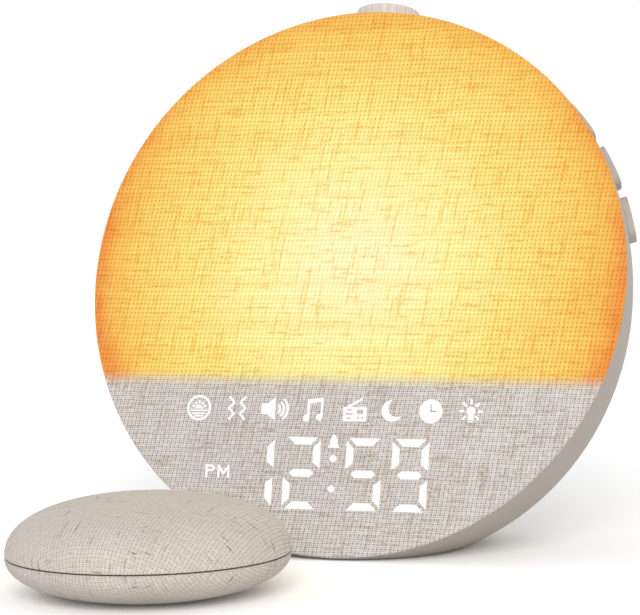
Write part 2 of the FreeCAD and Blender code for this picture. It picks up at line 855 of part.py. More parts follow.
def make_leads():
    light = lead_runs(lead_radius, tray_back - tray_floor, board_front)
    save_standing("light_leads", Part.makeCompound(light))
    flange_front = cover_inner - gasket_thickness - speaker_flange
    drop = speaker_height - speaker_radius + lead_radius + spigot_gap
    sound = [deep_disc(lead_radius, board_back, flange_front, side * lead_spread, drop)
             for side in (-1, 1)]
    save_standing("speaker_leads", Part.makeCompound(sound))
    height = inlet_height - inlet_thickness / 2 - inlet_board_thickness / 2
    power = [deep_disc(lead_radius, board_back, cover_inner - inlet_board_depth, side * lead_spread,
                       height) for side in (-1, 1)]
    save_standing("power_leads", Part.makeCompound(power))


# Side buttons, pressed in towards the centre

def rim_strip(inner, outer):
    """Curved strip behind the side buttons."""
    first = min(button_angles) - bracket_margin
    last = max(button_angles) + bracket_margin
    y0 = frame_back
    y1 = control_depth + button_width / 2 + flange_extra
    strip = Part.makeCylinder(outer, y1 - y0, Vector(0, y0, 0), Y_AXIS)
    strip = strip.cut(Part.makeCylinder(inner, y1 - y0, Vector(0, y0, 0), Y_AXIS))
    corners = [ORIGIN]
    for share in (0.0, 0.5, 1.0):
        angle = math.radians(first + (last - first) * share)
        corners.append(Vector(reach * math.cos(angle), 0, reach * math.sin(angle)))
    wedge = Part.Face(Part.makePolygon(corners + corners[:1])).extrude(Vector(0, body_depth, 0))
    strip = strip.common(wedge)
    strip.translate(Vector(0, 0, -axis_shift))
    return strip


def make_button(name, angle):
    raised = body_form(-button_proud, 0.0, split_depth)
    top = around(button_prism(0.0, flange_outer - flange_thickness, knob_top), angle).common(raised)
    flange = rounded_block(button_length + 2 * flange_end_extra, button_width + 2 * flange_extra,
                           button_corner, control_depth, flange_outer - flange_thickness, flange_outer)
    stem_bottom = switch_top + plunger_height
    stem = upright(stem_radius, stem_bottom, flange_outer - flange_thickness, 0.0, control_depth)
    cap_solid = top.fuse([around(flange, angle), around(stem, angle)]).removeSplitter()
    plunger = upright(plunger_radius, switch_top - plunger_height, stem_bottom, 0.0, control_depth)
    save_standing(name, Part.makeCompound([cap_solid.Solids[0], around(plunger, angle)]))


def make_switches():
    save_standing("button_bracket", rim_strip(bracket_inner, bracket_inner + bracket_thickness))
    save_standing("button_flex_board", rim_strip(bracket_inner + bracket_thickness, flex_outer))
    half = switch_size / 2
    switches = []
    for angle in button_angles:
        body = block(-half, half, control_depth - half, control_depth + half, flex_outer, switch_top)
        bore = upright(plunger_radius + running_gap, switch_top - switch_bore_depth, switch_top, 0.0,
                       control_depth)
        switches.append(around(body.cut(bore), angle))
    save_standing("tact_switches", Part.makeCompound(switches))


# Knob on top: it turns, and presses down

def make_knob():
    bottom = knob_seat + knob_gap
    knob = upright(knob_radius, bottom, knob_top, 0.0, knob_depth)
    rims = [edge for edge in knob.Edges if abs(edge.BoundBox.ZMin - knob_top) < 0.01
            and abs(edge.BoundBox.ZMax - knob_top) < 0.01]
    knob = knob.makeFillet(knob_edge, rims)
    flutes = []
    for index in range(knob_flutes):
        angle = math.radians(index * 360.0 / knob_flutes)
        flutes.append(upright(flute_radius, bottom, knob_top, knob_radius * math.cos(angle),
                              knob_depth + knob_radius * math.sin(angle)))
    bore = upright(shaft_radius + screw_fit, bottom, shaft_top + screw_fit, 0.0, knob_depth)
    save_standing("volume_knob", knob.cut(flutes + [bore]))
    save_standing("encoder_shaft", upright(shaft_radius, shaft_bottom, shaft_top, 0.0, knob_depth))
    body = block(-encoder_half, encoder_half, knob_depth - encoder_half, knob_depth + encoder_half,
                 encoder_bottom, encoder_top)
    body = body.fuse(upright(bushing_radius, encoder_top, bushing_top, 0.0, knob_depth))
    bore = upright(shaft_radius + running_gap, shaft_bottom, bushing_top, 0.0, knob_depth)
    plate_room = upright(shaft_radius + knob_press + 2 * running_gap, shaft_bottom - 2 * knob_press
                         - running_gap * 3, shaft_bottom + running_gap, 0.0, knob_depth)
    save_standing("encoder_body", body.removeSplitter().cut([bore, plate_room]))
    plate = upright(shaft_radius + knob_press, shaft_bottom - running_gap - knob_press,
                    shaft_bottom - running_gap, 0.0, knob_depth)
    save_standing("press_plate", plate)
    board = block(-encoder_board_half_width, encoder_board_half_width, frame_back,
                  encoder_board_back, encoder_bottom - encoder_board_thickness, encoder_bottom)
    save_standing("encoder_board", board)


# Speaker and power inlet on the back cover

def spun(points):
    """Turn an outline of (radius, depth) points round the speaker's axis."""
    corners = [Vector(radius, depth, 0) for radius, depth in points]
    solid = Part.Face(Part.makePolygon(corners + corners[:1])).revolve(ORIGIN, Y_AXIS, 360.0)
    solid.translate(Vector(0, 0, speaker_height))
    return solid


def make_speaker():
    gasket_front = cover_inner - gasket_thickness
    save_standing("speaker_gasket", deep_ring(speaker_radius, speaker_opening, gasket_front, cover_inner,
                                              0.0, speaker_height))
    flange_front = gasket_front - speaker_flange
    back = flange_front - basket_depth
    mouth = speaker_opening + basket_wall
    frame = spun([(speaker_opening, gasket_front), (speaker_radius, gasket_front),
                  (speaker_radius, flange_front), (mouth, flange_front),
                  (basket_back_radius, back), (0.0, back), (0.0, back + basket_wall),
                  (basket_back_radius - basket_wall, back + basket_wall),
                  (speaker_opening, flange_front)])
    save_standing("speaker_frame", frame)
    save_standing("speaker_magnet", deep_disc(magnet_radius, back - magnet_depth, back, 0.0,
                                              speaker_height))
    inner = basket_back_radius / 2
    cone_back = back + basket_wall + cone_wall
    outer = speaker_opening - running_gap
    cone = spun([(0.0, cone_back), (inner, cone_back), (outer, gasket_front - cone_wall),
                 (outer, gasket_front), (outer - cone_wall * 2, gasket_front),
                 (inner - cone_wall, cone_back + cone_wall), (0.0, cone_back + cone_wall)])
    save_standing("speaker_cone", cone)


def inlet_form(extra, y0, y1):
    half = inlet_thickness / 2 + extra
    straight = inlet_width / 2 - inlet_thickness / 2
    form = block(-straight, straight, y0, y1, inlet_height - half, inlet_height + half)
    for side in (-1, 1):
        form = form.fuse(deep_disc(half, y0, y1, side * straight, inlet_height))
    return form.removeSplitter()


def make_inlet():
    mouth = body_depth - inlet_wall
    shell = inlet_form(0.0, mouth - inlet_length, mouth)
    shell = shell.cut(inlet_form(-inlet_wall, mouth - inlet_length + inlet_wall, mouth))
    save_standing("usb_inlet", shell)
    tongue = block(-tongue_width / 2, tongue_width / 2, mouth - inlet_length + inlet_wall,
                   mouth - 2 * inlet_wall, inlet_height - tongue_thickness / 2,
                   inlet_height + tongue_thickness / 2)
    save_standing("usb_tongue", tongue)
    top = inlet_height - inlet_thickness / 2
    save_standing("inlet_board", block(-inlet_board_half_width, inlet_board_half_width,
                                       cover_inner - inlet_board_depth, cover_inner,
                                       top - inlet_board_thickness, top))


# Vibrating pad: its own frame has its origin under the pad's centre, on the ground

def pad_place(shape):
    placed = shape.copy()
    placed.translate(Vector(pad_x, pad_y, 0))
    return placed


def save_pad(name, shape):
    save(name, pad_place(shape))


def pad_curve(rise, power, inset, steps=9):
    """Points of a pebble's side, from the seam's rim to the crown."""
    points = []
    radius = pad_radius - inset
    height = rise - inset
    for index in range(steps + 1):
        angle = math.pi / 2 * index / steps
        r = radius * math.cos(angle) ** (2 / power)
        z = height * math.sin(angle) ** (2 / power)
        points.append((r, z))
    points[-1] = (0.0, height)
    return points


def pad_form(up, inset):
    rise = pad_top_rise if up else pad_bottom_fall
    power = pad_top_power if up else pad_bottom_power
    side = 1 if up else -1
    points = [Vector(r, 0, pad_seam + side * z) for r, z in pad_curve(rise, power, inset)]
    curve = Part.BSplineCurve()
    curve.interpolate(points)
    centre = Vector(0, 0, pad_seam)
    edges = [curve.toShape(), Part.makeLine(points[-1], centre), Part.makeLine(centre, points[0])]
    solid = Part.Face(Part.Wire(edges)).revolve(ORIGIN, Z_AXIS, 360.0)
    if not up:
        floor = upright(pad_radius, inset, pad_seam)
        solid = solid.common(floor)
    return solid


def pad_inner_radius(height):
    """Radius inside the bottom shell at a height above the ground."""
    inset = pad_cloth + layer_gap + pad_wall
    share = (pad_seam - height) / (pad_bottom_fall - inset)
    return (pad_radius - inset) * (1 - share ** pad_bottom_power) ** (1 / pad_bottom_power)


def pad_screw_places(radius, z0, z1):
    places = []
    for angle in pad_screw_angles:
        a = math.radians(angle)
        places.append(upright(radius, z0, z1, pad_screw_ring * math.cos(a), pad_screw_ring * math.sin(a)))
    return places


def pad_port_form(extra, y1):
    half = inlet_thickness / 2 + extra
    straight = inlet_width / 2 - inlet_thickness / 2
    y0 = pad_port_mouth - inlet_length - extra
    form = block(-straight, straight, y0, y1, pad_port_height - half, pad_port_height + half)
    for side in (-1, 1):
        form = form.fuse(deep_disc(half, y0, y1, side * straight, pad_port_height))
    return form.removeSplitter()


def make_pad_shells():
    skin = pad_cloth + layer_gap
    half_seam = pad_seam_height / 2
    above = block(-reach, reach, -reach, reach, pad_seam + half_seam, reach)
    under = block(-reach, reach, -reach, reach, -reach, pad_seam - half_seam)
    opening = pad_port_form(inlet_gap, pad_radius + inlet_length - inlet_wall)
    save_pad("pad_top_cloth", pad_form(True, 0.0).cut(pad_form(True, pad_cloth)).common(above))
    bottom_cloth = pad_form(False, 0.0).cut(pad_form(False, pad_cloth)).common(under)
    save_pad("pad_bottom_cloth", bottom_cloth.cut(opening))
    inner = skin + pad_wall
    boss_top = pad_seam + half_seam
    bosses = [post.common(pad_form(True, skin)) for post in
              pad_screw_places(pad_boss_radius, boss_top, pad_seam + pad_top_rise)]
    top = pad_form(True, skin).cut(pad_form(True, inner)).common(above).fuse(bosses)
    holes = pad_screw_places(board_screw_radius + screw_fit, boss_top, boss_top + 2 * pad_screw_bite)
    save_pad("pad_top_shell", top.removeSplitter().cut(holes))
    columns = pad_screw_places(pad_boss_radius, 0.0, pad_seam - half_seam)
    posts = []
    for x in (-1, 1):
        for y in (-1, 1):
            posts.append(upright(pad_post_radius, 0.0, pad_board_height,
                                 x * (pad_board_half_x - pad_post_radius),
                                 y * (pad_board_half_y - pad_post_radius)))
    port_floor = pad_port_height - inlet_thickness / 2 - pad_board_thickness
    for x in (-1, 1):
        posts.append(upright(pad_post_radius, 0.0, port_floor, x * (pad_port_board_half
                                                                   - pad_post_radius),
                             pad_port_board_y + pad_post_radius))
    solid_bottom = pad_form(False, skin)
    fillers = [post.common(solid_bottom) for post in columns + posts]
    bottom = solid_bottom.cut(pad_form(False, inner)).common(under).fuse(fillers).removeSplitter()
    head_room = pad_screw_places(board_screw_head + screw_fit, 0.0, pad_screw_floor)
    shank_room = pad_screw_places(board_screw_radius + screw_fit, 0.0, pad_seam)
    save_pad("pad_bottom_shell", bottom.cut(head_room + shank_room + [opening]))
    seam = upright(pad_radius - pad_seam_inset, pad_seam - half_seam, pad_seam + half_seam)
    seam = seam.cut(upright(pad_radius - pad_seam_inset - pad_seam_width, pad_seam - half_seam,
                            pad_seam + half_seam))
    save_pad("pad_seam_ring", seam)
    screws = []
    heads = pad_screw_places(board_screw_head, pad_screw_floor - board_screw_radius, pad_screw_floor)
    shanks = pad_screw_places(board_screw_radius, pad_screw_floor, boss_top + pad_screw_bite)
    for head, shank in zip(heads, shanks):
        screws.append(head.fuse(shank).removeSplitter())
    save_pad("pad_screws", Part.makeCompound(screws))
    port = pad_port_form(0.0, pad_port_mouth)
    port = port.cut(pad_port_form(-inlet_wall, pad_radius))
    save_pad("pad_charge_port", port)
    port_board_top = port_floor + pad_board_thickness
    port_board = block(-pad_port_board_half, pad_port_board_half, pad_port_board_y,
                       pad_port_board_y + pad_port_board_length, port_floor, port_board_top)
    board_room = upright(pad_inner_radius(port_floor) - pad_port_board_gap, port_floor, port_board_top)
    save_pad("pad_port_board", port_board.common(board_room))


def make_pad_works():
    floor = pad_cloth + layer_gap + pad_wall
    board_top = pad_board_height + pad_board_thickness
    save_pad("pad_board", block(-pad_board_half_x, pad_board_half_x, -pad_board_half_y,
                                pad_board_half_y, pad_board_height, board_top))
    foam = block(-pad_battery_x / 3, pad_battery_x / 3, -pad_battery_y / 3, pad_battery_y / 3,
                 floor, floor + pad_foam_height)
    battery_floor = floor + pad_foam_height
    battery = block(-pad_battery_x / 2, pad_battery_x / 2, -pad_battery_y / 2, pad_battery_y / 2,
                    battery_floor, battery_floor + pad_battery_height)
    save_pad("pad_battery", battery.fuse(foam).removeSplitter())
    front = -pad_motor_front
    back = front + pad_motor_length
    motor = Part.makeCylinder(pad_motor_radius, pad_motor_length, Vector(front, 0, pad_motor_height),
                              X_AXIS)
    shaft_room = Part.makeCylinder(pad_shaft_radius + running_gap, pad_cradle_half,
                                   Vector(back - pad_cradle_half, 0, pad_motor_height), X_AXIS)
    save_pad("pad_motor", motor.cut(shaft_room))
    cradle = block(front, back, -pad_cradle_half, pad_cradle_half, board_top, pad_motor_height)
    seat = Part.makeCylinder(pad_motor_radius + layer_gap, pad_motor_length,
                             Vector(front, 0, pad_motor_height), X_AXIS)
    save_pad("pad_motor_cradle", cradle.cut(seat))
    shaft = Part.makeCylinder(pad_shaft_radius, pad_shaft_length + pad_cradle_half / 2,
                              Vector(back - pad_cradle_half / 2, 0, pad_motor_height), X_AXIS)
    start = back + pad_weight_gap
    weight = Part.makeCylinder(pad_weight_radius, pad_weight_length, Vector(start, 0, pad_motor_height),
                               X_AXIS)
    half_room = block(start, start + pad_weight_length, -pad_weight_radius, pad_weight_radius,
                      pad_motor_height + pad_shaft_radius * 2, pad_motor_height + 2 * pad_weight_radius)
    weight = weight.cut([half_room, Part.makeCylinder(pad_shaft_radius, pad_weight_length,
                                                      Vector(start, 0, pad_motor_height), X_AXIS)])
    save_pad("pad_motor_shaft", shaft)
    save_pad("pad_eccentric_weight", weight)


def make_clock():
    front_foot, rear_foot = foot_form()
    save("front_housing", front_housing(front_foot))
    save("back_cover", back_cover(rear_foot))
    save("rubber_feet", Part.makeCompound([front_foot, rear_foot]))
    floor = split_depth + column_floor
    cover_screws = screws_along_depth(floor, floor + screw_head_height, split_depth - screw_depth + 1.0,
                                      floor)
    save_standing("cover_screws", Part.makeCompound(cover_screws))
    make_display()
    make_light_box()
    make_frame()
    make_main_board()
    make_leads()
    make_switches()
    for name, angle in zip(("alarm_button", "light_button", "sound_button"), button_angles):
        make_button(name, angle)
    make_knob()
    make_speaker()
    make_inlet()


os.makedirs("parts", exist_ok=True)
make_clock()
make_pad_shells()
make_pad_works()
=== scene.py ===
import math

import bpy
from mathutils import Matrix, Vector


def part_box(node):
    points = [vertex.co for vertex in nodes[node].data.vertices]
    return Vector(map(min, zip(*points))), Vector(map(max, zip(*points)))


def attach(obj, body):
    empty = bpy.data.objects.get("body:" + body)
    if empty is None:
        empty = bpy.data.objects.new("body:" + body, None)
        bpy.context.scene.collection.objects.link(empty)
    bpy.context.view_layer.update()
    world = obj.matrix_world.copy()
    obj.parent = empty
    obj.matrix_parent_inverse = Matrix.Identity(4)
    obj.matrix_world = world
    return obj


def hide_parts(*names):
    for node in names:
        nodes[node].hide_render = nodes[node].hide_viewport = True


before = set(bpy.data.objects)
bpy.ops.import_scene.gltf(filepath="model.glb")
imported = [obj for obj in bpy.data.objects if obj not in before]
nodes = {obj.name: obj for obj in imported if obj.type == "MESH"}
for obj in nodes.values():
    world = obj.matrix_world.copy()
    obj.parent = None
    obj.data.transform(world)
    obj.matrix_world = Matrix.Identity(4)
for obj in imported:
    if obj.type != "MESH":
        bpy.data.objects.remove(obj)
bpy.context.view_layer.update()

MM = 0.001

# The clock's leaning front, in millimetres
LEAN = math.radians(15.4)
FACE_RADIUS = 95.0
LIP_WIDTH = 0.7
CLOTH_GAP = 0.3
EDGE_OVERHANG = 0.1
EDGE_HEIGHT = 1.0
BASE_CENTRE = 10.0
FACE_HEIGHT = round(EDGE_HEIGHT + FACE_RADIUS * math.cos(LEAN), 3)

# From here on in metres: places on the face are across, inward and upward from its centre
FACE_CENTRE = Vector((0.0, -BASE_CENTRE, FACE_HEIGHT)) * MM
ACROSS = Vector((1.0, 0.0, 0.0))
INWARD = Vector((0.0, math.cos(LEAN), -math.sin(LEAN)))
UPWARD = Vector((0.0, math.sin(LEAN), math.cos(LEAN)))

# Face cloth, which rolls a little past the housing's lip
CLOTH_RADIUS = (FACE_RADIUS - LIP_WIDTH - CLOTH_GAP) * MM
EDGE_RADIUS = (FACE_RADIUS + EDGE_OVERHANG) * MM
EDGE_GAP = 0.06 * MM
EDGE_STEPS = 6
SHOULDER_ROUND = 0.8 * MM
SHOULDER_HEIGHT = 0.9 * MM
CROWN_HEIGHT = 1.8 * MM
SEAT_DEPTH = 2.2 * MM
CLOTH_THICKNESS = 0.6 * MM
FACE_RINGS = 46
FACE_SEGMENTS = 240

# Pad
pad_low, pad_high = (Vector(corner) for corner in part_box("pad_seam_ring"))
PAD_CENTRE = Vector(((pad_low.x + pad_high.x) / 2, (pad_low.y + pad_high.y) / 2, 0.0))
PAD_RADIUS = 44.7 * MM
PAD_SEAM = 13.0 * MM
PAD_TOP_RISE = 18.3 * MM
PAD_BOTTOM_FALL = 14.0 * MM
PAD_TOP_POWER = 2.3
PAD_BOTTOM_POWER = 2.2
PAD_CLOTH_THICKNESS = 0.7 * MM
PAD_RINGS = 34
PAD_SEGMENTS = 180
SEAM_HALF_GAP = 0.2 * MM
SEAM_ROLL = 0.35 * MM
SEAM_STEPS = 4
PORT_ROOM = 0.3 * MM
PORT_END_STEPS = 12
PORT_CUT_REACH = 0.3 * PAD_RADIUS
TINY_RADIUS = 1e-9

# How the pad's upper cover fills out
SWELL_LIMIT = 0.6 * MM
SWELL_FRAMES = 20
SWELL_PRESSURE = 4.0
SWELL_QUALITY = 6
SWELL_MASS = 0.2
SWELL_STIFFNESS = 30
SWELL_BENDING = 4

# Linen, where lengths without a unit are widths of one thread
FACE_PITCH = 0.74 * MM
FACE_SKEW = math.tan(math.radians(8.0))
PAD_PITCH = 0.66 * MM
THREAD_MIDDLE = 0.5
THREAD_HALF_THIN = 0.37
THREAD_HALF_THICK = 0.48
THREAD_WAVER = 0.08
CROSSING_DIP = 0.25
DRIFT = 1.2
SINGLE = 1.0
PAIR = 2.0
HOLE_SIZE = 0.62
HOLE_CORE = 0.35
SLUB_APART = 0.83
SLUB_BREAKS = 0.4
SLUB_RUN_LEVEL = 0.06
SLUB_RUN_UPRIGHT = 0.05
SLUB_HEIGHT = 0.4
UNEVEN_RUN = 0.5
FLECK_RUN = 0.3
FACE_SLUBS = (0.55, 0.70)
PAD_SLUBS = (0.635, 0.78)
TONE_SHARE = 0.3
FLECK_SHARE = 0.5

# Glow of the face: its lower end, its middle, and how far patches of it stray
GLOW_LIMIT = -34.5 * MM
GLOW_SOFTNESS = 3.2 * MM
GLOW_EDGE_WAVER = 1.0 * MM
GLOW_HEIGHT = 5.0 * MM
GLOW_WAVER = 22.0 * MM
GLOW_STRENGTH = 0.84
GLOW_HIDES_CLOTH = 0.82
GLOW_THREAD_TINT = 0.3
GLOW_SHADOW = (0.62, 0.42, 0.10, 1.0)
GLOW_AMBER = (0.93, 0.62, 0.30, 1.0)

# Hard finishes
EDGE_WEAR_ROUND = 0.3 * MM
EDGE_WEAR_SHARE = 0.35
EDGE_WEAR_PALER = 1.25
MOTTLE_SHARE = 0.4
GLOSS_STRAY = 0.05
METAL_GLOSSIER = 0.08
METAL_DULLER = 0.1
SCRATCHES_ACROSS = 4000.0
SCRATCHES_ALONG = 300.0
TRACKS_ACROSS = 900.0
TRACKS_ALONG = 250.0
LAMP_STRENGTH = 0.6
BLACK = (0.0, 0.0, 0.0, 1.0)
WHITE = (1.0, 1.0, 1.0, 1.0)

# Camera, as the photograph was framed
IMAGE_WIDTH = 640
IMAGE_HEIGHT = 615
SENSOR_WIDTH = 36.0
FOCAL_PIXELS = 2641.0
CAMERA_DISTANCE = 0.900
CAMERA_AZIMUTH = math.radians(18.3)
CAMERA_ELEVATION = math.radians(3.0)
CAMERA_ROLL = math.radians(-1.0)
AIM_X = 352.9
AIM_Y = 280.4

# Light and floor
WORLD_STRENGTH = 0.60
WORLD_SEEN = 1.0
KEY_STRENGTH = 1.45
KEY_SPREAD = math.radians(30.0)
KEY_FROM = Vector((0.30, -1.0, 0.50))
FLOOR_SIZE = 8.0
FLOOR_TONE = 0.94
FLOOR_SEEN = 1.30
FLOOR_LIFT = 0.04


def linear(red, green, blue):
    """A colour given in screen values from 0 to 255, as light values."""
    values = []
    for level in (red, green, blue):
        share = level / 255
        values.append(share / 12.92 if share <= 0.04045 else ((share + 0.055) / 1.055) ** 2.4)
    return (*values, 1.0)


def shaded(colour, amount):
    """The colour made lighter or darker by a factor."""
    return (*(min(1.0, channel * amount) for channel in colour[:3]), 1.0)


# Shader nodes

class Graph:
    """Builds the nodes of a material or a world, one call for each node."""

    def __init__(self, owner, shader):
        owner.use_nodes = True
        self.owner = owner
        self.tree = owner.node_tree
        self.shader = self.tree.nodes[shader]

    def feed(self, socket, value):
        if isinstance(value, bpy.types.NodeSocket):
            self.tree.links.new(value, socket)
        elif value is not None:
            socket.default_value = value

    def add(self, kind, inputs, output=0, **settings):
        node = self.tree.nodes.new(kind)
        for key, value in settings.items():
            setattr(node, key, value)
        for key, value in inputs.items():
            self.feed(node.inputs[key], value)
        return node.outputs[output]

    def math(self, operation, a, b=None, c=None):
        return self.add("ShaderNodeMath", {0: a, 1: b, 2: c}, operation=operation)

    def scaled(self, value, factor, shift=None):
        """Value times a factor, plus a shift where one is given."""
        if shift is None:
            return self.math("MULTIPLY", value, factor)
        return self.math("MULTIPLY_ADD", value, factor, shift)

    def weighed(self, a, b, share_a):
        """Two values added up, the first by its share and the second by the rest."""
        return self.scaled(a, share_a, self.scaled(b, 1 - share_a))

    def length(self, a, b):
        return self.math("SQRT", self.math("ADD", self.scaled(a, a), self.scaled(b, b)))

    def mix(self, share, a, b, blend="MIX"):
        return self.add("ShaderNodeMix", {0: share, 6: a, 7: b}, output=2, data_type="RGBA",
                        blend_type=blend)

    def tones(self, share, colour, darker, paler):
        """The colour made uneven, from a darker to a paler tone of it."""
        return self.mix(share, shaded(colour, darker), shaded(colour, paler))

    def spread(self, value, low, high, to_low=0.0, to_high=1.0):
        """Value taken from one range to another with soft ends."""
        return self.add("ShaderNodeMapRange", {0: value, 1: low, 2: high, 3: to_low, 4: to_high},
                        interpolation_type="SMOOTHSTEP")

    def noise(self, place, scale, detail=2.0, roughness=0.5):
        return self.add("ShaderNodeTexNoise", {"Vector": place, "Scale": scale, "Detail": detail,
                                               "Roughness": roughness})

    def point(self, x, y, z=0.0):
        return self.add("ShaderNodeCombineXYZ", {0: x, 1: y, 2: z})

    def parts(self, vector):
        node = self.tree.nodes.new("ShaderNodeSeparateXYZ")
        self.tree.links.new(vector, node.inputs[0])
        return node.outputs[0], node.outputs[1], node.outputs[2]

    def place(self):
        return self.add("ShaderNodeTexCoord", {}, output="Object")

    def ramp(self, share, stops):
        node = self.tree.nodes.new("ShaderNodeValToRGB")
        elements = node.color_ramp.elements
        while len(elements) < len(stops):
            elements.new(1.0)
        for element, (position, colour) in zip(elements, stops):
            element.position = position
            element.color = colour
        self.feed(node.inputs[0], share)
        return node.outputs[0]

    def bump(self, height, depth, strength, normal=None):
        return self.add("ShaderNodeBump", {"Height": height, "Distance": depth,
                                           "Strength": strength, "Normal": normal})

    def on_rays(self, *kinds):
        """1 on rays of these kinds, and 0 on all others."""
        shown = None
        for kind in kinds:
            ray = self.add("ShaderNodeLightPath", {}, output=kind)
            shown = ray if shown is None else self.math("MAXIMUM", shown, ray)
        return shown

    def finish(self, **inputs):
        for key, value in inputs.items():
            self.feed(self.shader.inputs[key.replace("_", " ")], value)
        return self.owner


def surface(name):
    """The nodes of a new material."""
    return Graph(bpy.data.materials.new(name), "Principled BSDF")


# Woven linen

def off_middle(graph, across):
    """Distance from the middle of a thread."""
    return graph.math("ABSOLUTE", graph.math("SUBTRACT", across, THREAD_MIDDLE))


def nearest(graph, value, step):
    """Distance from the value to the nearest multiple of step."""
    share = graph.math("FRACT", graph.scaled(value, 1 / step, THREAD_MIDDLE))
    return graph.scaled(off_middle(graph, share), step)


def thread_relief(graph, across, along, thread, crossing):
    """Height of one set of threads: a round section that dips under every other crossing."""
    width = graph.noise(graph.point(thread, graph.scaled(along, THREAD_WAVER)), scale=1.0)
    width = graph.spread(width, low=0.3, high=0.75, to_low=THREAD_HALF_THIN,
                         to_high=THREAD_HALF_THICK)
    share = graph.math("DIVIDE", graph.math("SUBTRACT", across, THREAD_MIDDLE), width)
    section = graph.math("SUBTRACT", 1.0, graph.scaled(share, share))
    section = graph.math("SQRT", graph.math("MAXIMUM", section, 0.0))
    turn = graph.scaled(graph.math("ADD", along, crossing), math.pi)
    wave = graph.scaled(graph.math("SINE", turn), CROSSING_DIP, 1 - CROSSING_DIP)
    return graph.scaled(section, wave)


def slubs(graph, thread, across, along, stretch, limits):
    """Thick places that run along single threads, broken up along their length."""
    low, high = limits
    streak = graph.noise(graph.point(graph.scaled(thread, SLUB_APART), graph.scaled(along, stretch)),
                         scale=1.0, detail=1.0)
    broken = graph.noise(graph.point(thread, graph.scaled(along, SLUB_BREAKS)), scale=1.0, detail=1.0)
    edge = graph.spread(off_middle(graph, across), low=0.5, high=0.2)
    strength = graph.scaled(graph.spread(broken, low=0.35, high=0.6, to_low=0.3), edge)
    return graph.scaled(graph.spread(streak, low, high), strength)


def holes(graph, a, b, column, corner):
    """Dark dots between the threads, darker at every second one because the threads lie in pairs."""
    dots = None
    for step_a, step_b, share in ((PAIR, PAIR, 1.0), (PAIR, SINGLE, column), (SINGLE, SINGLE, corner)):
        reach = graph.length(nearest(graph, a, step_a), nearest(graph, b, step_b))
        dot = graph.scaled(graph.spread(reach, low=HOLE_SIZE, high=HOLE_SIZE * HOLE_CORE), share)
        dots = dot if dots is None else graph.math("MAXIMUM", dots, dot)
    return dots


def weave(graph, pitch, slub_limits, skew=0.0):
    """Height, pinholes, slubs and thread tones of a plain weave, from the place along its threads."""
    place = graph.add("ShaderNodeAttribute", {}, output="Vector", attribute_name="thread_place")
    x, y, _ = graph.parts(place)
    x = graph.scaled(y, -skew, x)
    drift = graph.scaled(graph.noise(place, scale=60.0, detail=1.0), DRIFT, -DRIFT / 2)
    a = graph.scaled(x, 1 / pitch, drift)
    b = graph.scaled(y, 1 / pitch, drift)
    thread_a = graph.math("FLOOR", a)
    thread_b = graph.math("FLOOR", b)
    across_a = graph.math("FRACT", a)
    across_b = graph.math("FRACT", b)
    upright = thread_relief(graph, across_a, b, thread_a, thread_a)
    level = thread_relief(graph, across_b, a, thread_b, graph.math("ADD", thread_b, 1.0))
    relief = graph.math("MAXIMUM", upright, level)
    slub = graph.math("MAXIMUM", slubs(graph, thread_b, across_b, a, SLUB_RUN_LEVEL, slub_limits),
                      slubs(graph, thread_a, across_a, b, SLUB_RUN_UPRIGHT, slub_limits))
    uneven = graph.noise(graph.point(graph.scaled(a, UNEVEN_RUN), graph.scaled(b, UNEVEN_RUN)), scale=1.0)
    strength = graph.spread(uneven, low=0.3, high=0.62, to_low=0.45)
    fleck = graph.noise(graph.point(graph.scaled(a, FLECK_RUN), b), scale=0.7, detail=4.0, roughness=0.6)
    tone_a = graph.add("ShaderNodeTexWhiteNoise", {"W": thread_a}, noise_dimensions="1D")
    tone_b = graph.add("ShaderNodeTexWhiteNoise", {"W": thread_b}, noise_dimensions="1D")
    on_top = graph.math("GREATER_THAN", upright, level)
    return {
        "place": place,
        "height": graph.scaled(slub, SLUB_HEIGHT, relief),
        "pinhole": graph.scaled(holes(graph, a, b, column=0.65, corner=0.5), strength),
        "wide": graph.scaled(holes(graph, a, b, column=0.3, corner=0.12), strength),
        "slub": slub,
        "tone": graph.add("ShaderNodeMix", {0: on_top, 2: tone_b, 3: tone_a}),
        "line": tone_b,
        "fleck": fleck,
    }


def linen_colour(graph, cloth, pale, dark, fleck, hole, hole_share, slub_share):
    """Colour of unlit linen: uneven threads, brown flecks and dark pinholes."""
    patch = graph.noise(cloth["place"], scale=45.0, detail=3.0)
    colour = graph.mix(graph.weighed(cloth["tone"], patch, TONE_SHARE), dark, pale)
    flecks = graph.scaled(graph.spread(cloth["fleck"], low=0.62, high=0.78), FLECK_SHARE)
    brown = graph.math("MAXIMUM", flecks, graph.scaled(cloth["slub"], slub_share))
    colour = graph.mix(brown, colour, fleck)
    return graph.mix(graph.scaled(cloth["pinhole"], hole_share), colour, hole)


def pad_linen():
    """Plain linen with a few fine slubs."""
    graph = surface("pad_linen")
    cloth = weave(graph, PAD_PITCH, PAD_SLUBS)
    colour = linen_colour(graph, cloth, pale=linear(243, 235, 226), dark=linear(216, 205, 195),
                          fleck=linear(120, 102, 88), hole=linear(104, 90, 80),
                          hole_share=0.75, slub_share=0.9)
    return graph.finish(Base_Color=colour, Roughness=0.85, Sheen_Weight=0.15,
                        Normal=graph.bump(cloth["height"], depth=0.15 * MM, strength=0.7))


